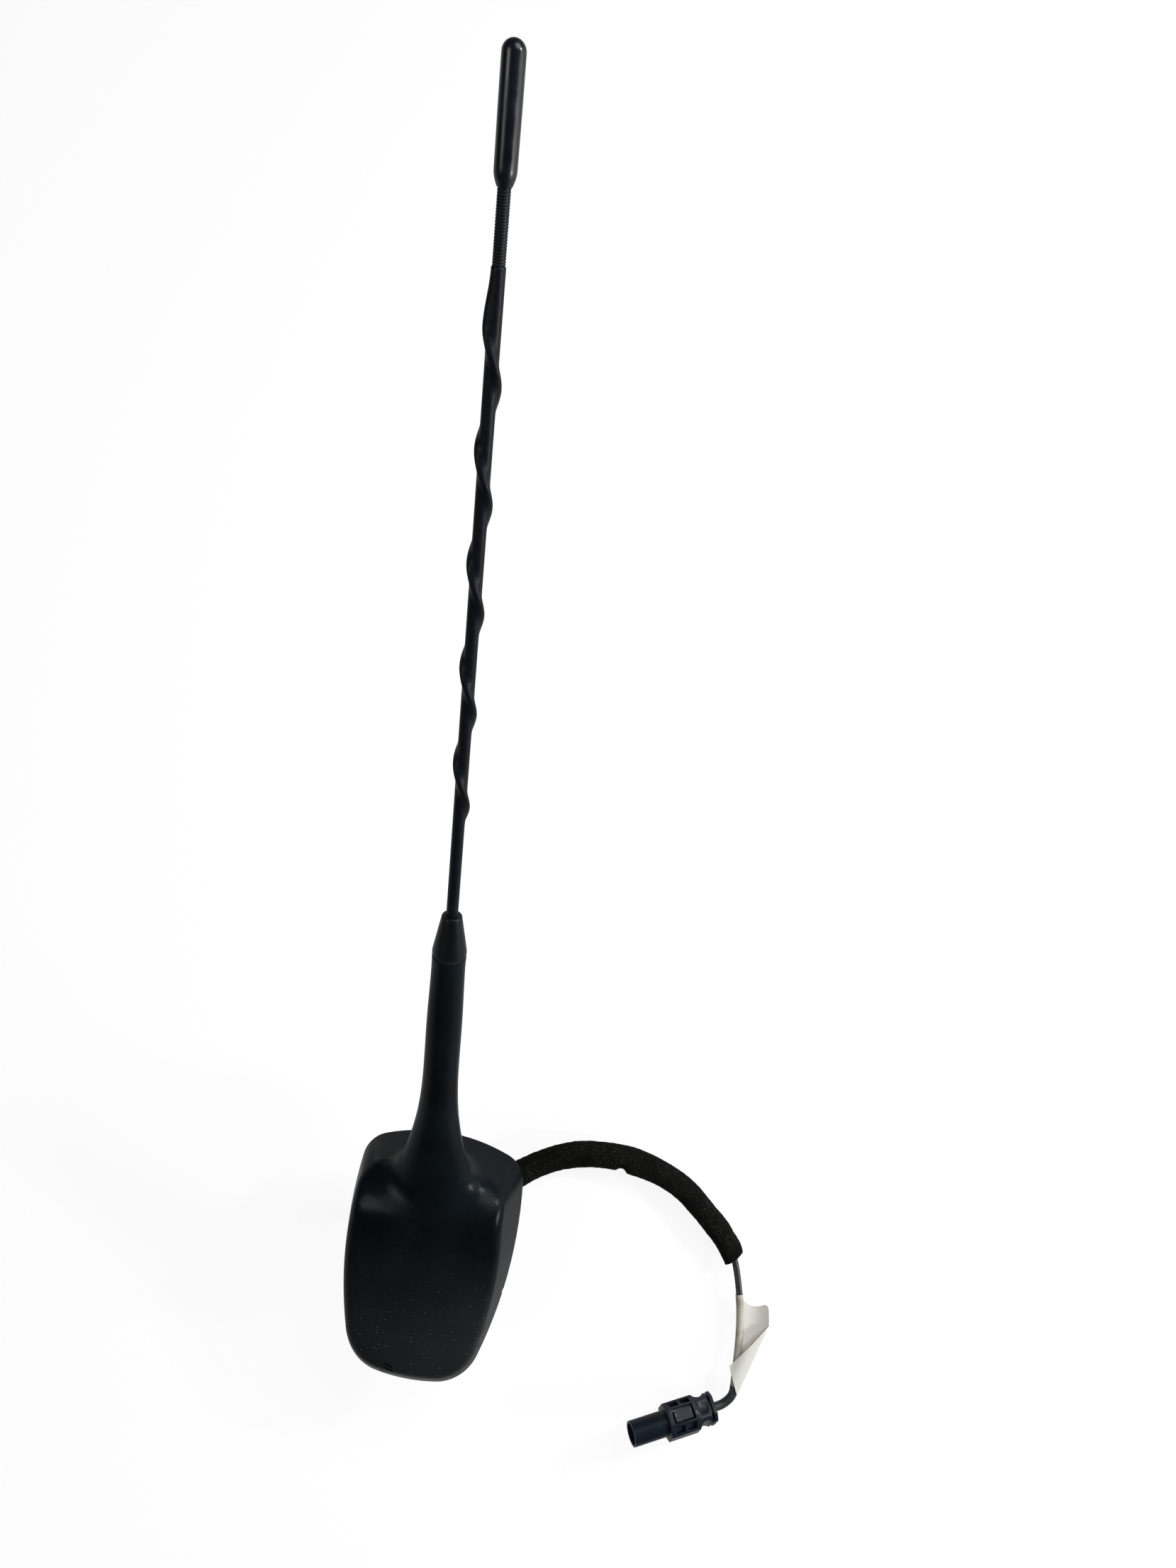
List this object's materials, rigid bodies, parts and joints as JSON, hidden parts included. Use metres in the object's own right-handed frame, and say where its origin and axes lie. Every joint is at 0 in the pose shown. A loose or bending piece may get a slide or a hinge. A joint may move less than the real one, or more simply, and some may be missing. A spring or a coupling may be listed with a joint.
{
  "type": "car roof antenna",
  "caption": "Leaning screw-in car roof antenna: wedge-shaped hollow base with flared neck, whip mast with helical ridge, and a sleeved coaxial cable ending in a plug.",
  "frame": {"origin": "centre of the roof hole, on the roof's outer skin under the gasket", "axes": "+Z out of the roof, -Y towards the car's front, the mast leans towards +Y"},
  "size_m": [0.1652, 0.3793, 0.2576],
  "materials": {
    "cover_plastic": "fine-grained satin",
    "gasket_rubber": "matt",
    "cast_alloy": "cast, matt",
    "screw_steel": "zinc plated",
    "circuit_board": "solder mask",
    "tinned_steel": "tinned, satin",
    "coil_copper": "enamelled copper",
    "chip_plastic": "moulded, matt",
    "spring_brass": "plated, satin",
    "feed_brass": "turned",
    "ferrule_plastic": "satin",
    "stud_steel": "zinc plated",
    "rod_glass_fibre": "pultruded",
    "sheath_plastic": "heat-shrunk, satin gloss",
    "winding_enamel": "enamelled wire under thin skin",
    "tip_plastic": "gloss",
    "cable_jacket": "satin",
    "foam": "open-cell foam, matt",
    "boot_rubber": "matt",
    "label_paper": "matt",
    "plug_plastic": "satin",
    "insulator_plastic": "moulded"
  },
  "bodies": {
    "base": {"housing_cover": "cover_plastic", "roof_gasket": "gasket_rubber", "base_plate": "cast_alloy", "cover_screws": "screw_steel", "amplifier_board": "circuit_board", "board_screws": "screw_steel", "shield_can": "tinned_steel", "filter_coils": "coil_copper", "amplifier_chips": "chip_plastic", "feed_clip": "spring_brass", "feed_rod": "feed_brass", "mast_socket": "feed_brass", "cable_grommet": "gasket_rubber", "cable_tail": "cable_jacket", "coax_cable": "cable_jacket", "foam_sleeve": "foam", "cable_boot": "boot_rubber", "cable_label": "label_paper", "plug_housing": "plug_plastic", "plug_lock": "plug_plastic", "plug_contact": "spring_brass", "plug_insulator": "insulator_plastic", "plug_pin": "spring_brass"},
    "seal": {"mast_seal": "gasket_rubber"},
    "mast": {"mast_ferrule": "ferrule_plastic", "mast_stud": "stud_steel", "mast_rod": "rod_glass_fibre", "mast_sheath": "sheath_plastic", "mast_winding": "winding_enamel", "mast_tip": "tip_plastic"}
  },
  "joints": [
    {"name": "mast_rise", "type": "slide", "parent": "base", "child": "seal", "axis": [0, 0.8192, 0.5736], "range_m": [0, 0.0068]},
    {"name": "mast_turn", "type": "hinge", "parent": "seal", "child": "mast", "pos_m": [0, 0.11304, 0.07915], "axis": [0, 0.8192, 0.5736], "range_deg": [0, 3060]}
  ],
  "couplings": [
    {"joint": "mast_turn", "follows": "mast_rise", "rad_per_m": 7854}
  ]
}
